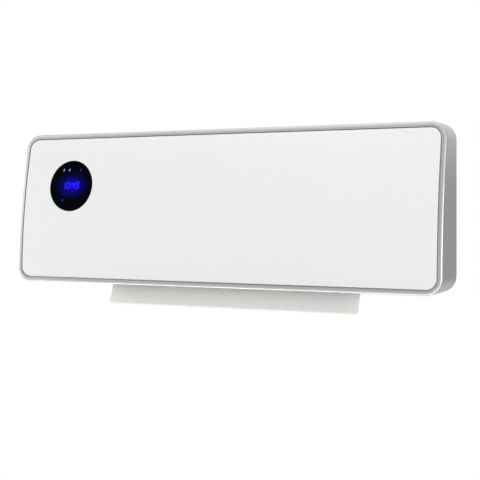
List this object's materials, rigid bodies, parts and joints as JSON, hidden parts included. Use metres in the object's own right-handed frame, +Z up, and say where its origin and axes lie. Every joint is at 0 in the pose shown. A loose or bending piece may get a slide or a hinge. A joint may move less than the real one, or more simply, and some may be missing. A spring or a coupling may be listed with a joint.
{
  "type": "wall fan heater",
  "caption": "Wide wall-hung ceramic fan heater: white bowed panel in a silver casing, round black display, swinging outlet flap below, slotted intake above.",
  "frame": {"origin": "middle of the body's width and height, on the wall plane at the back of the rear housing", "axes": "+X to the right for someone who faces the heater, +Y into the wall, +Z up; the front faces -Y"},
  "size_m": [0.567, 0.11, 0.22],
  "materials": {
    "casing_silver": "silver metallic lacquer on ABS, satin",
    "panel_white": "white moulded ABS, semi-gloss",
    "housing_white": "off-white moulded ABS, fine spark texture",
    "flap_grey": "pale grey moulded ABS, satin",
    "display_black": "smoked acrylic, polished",
    "dark_plastic": "black heat-resistant moulding",
    "led_black": "epoxy-filled digit module",
    "zinc_steel": "zinc-plated sheet",
    "screw_steel": "zinc-plated",
    "fin_aluminium": "bare rolled strip",
    "bearing_bronze": "sintered, oiled",
    "board_green": "solder mask over glass-epoxy",
    "component_black": "moulded component cases",
    "component_blue": "moulded component cases",
    "mount_rubber": "moulded rubber",
    "lead_white": "silicone insulation"
  },
  "bodies": {
    "heater_body": {"front_casing": "casing_silver", "front_panel": "panel_white", "display_lens": "display_black", "display_holder": "dark_plastic", "display_board": "board_green", "led_digit_module": "led_black", "ir_receiver": "component_black", "touch_springs": "zinc_steel", "rear_housing": "housing_white", "intake_grille": "housing_white", "air_duct": "dark_plastic", "outlet_grille": "dark_plastic", "flap_bush": "bearing_bronze", "flap_motor": "zinc_steel", "flap_motor_screws": "screw_steel", "fan_motor": "zinc_steel", "motor_bracket": "zinc_steel", "motor_mounts": "mount_rubber", "bearing_bracket": "zinc_steel", "fan_bearing": "bearing_bronze", "bearing_ring": "mount_rubber", "rear_scroll": "dark_plastic", "scroll_tongue": "dark_plastic", "ptc_elements": "fin_aluminium", "heater_fins": "fin_aluminium", "heater_holders": "dark_plastic", "thermal_cutout": "component_black", "thermal_fuse": "zinc_steel", "power_board": "board_green", "power_board_screws": "screw_steel", "power_transformer": "component_black", "relays": "component_blue", "filter_capacitor": "component_blue", "terminal_block": "component_black", "room_sensor": "component_black", "heater_leads": "lead_white", "motor_lead": "lead_white", "display_ribbon": "lead_white", "power_switch_frame": "dark_plastic", "cord_gland": "dark_plastic", "gland_nut": "dark_plastic", "wall_bracket": "zinc_steel", "casing_screws": "screw_steel"},
    "flap": {"outlet_flap": "flap_grey", "flap_drive_shaft": "zinc_steel"},
    "fan": {"fan_wheel": "dark_plastic", "motor_shaft": "zinc_steel"},
    "rocker": {"power_rocker": "dark_plastic"}
  },
  "joints": [
    {"name": "flap_swing", "type": "hinge", "parent": "heater_body", "child": "flap", "pos_m": [0, -0.055, -0.08925], "axis": [1, 0, 0], "range_deg": [-66.5, 23.5]},
    {"name": "fan_spin", "type": "hinge", "parent": "heater_body", "child": "fan", "pos_m": [0, -0.055, 0.00925], "axis": [1, 0, 0], "continuous": true},
    {"name": "rocker_tilt", "type": "hinge", "parent": "heater_body", "child": "rocker", "pos_m": [-0.2135, -0.02435, -0.09425], "axis": [0, 1, 0], "range_deg": [-18, 0]}
  ]
}
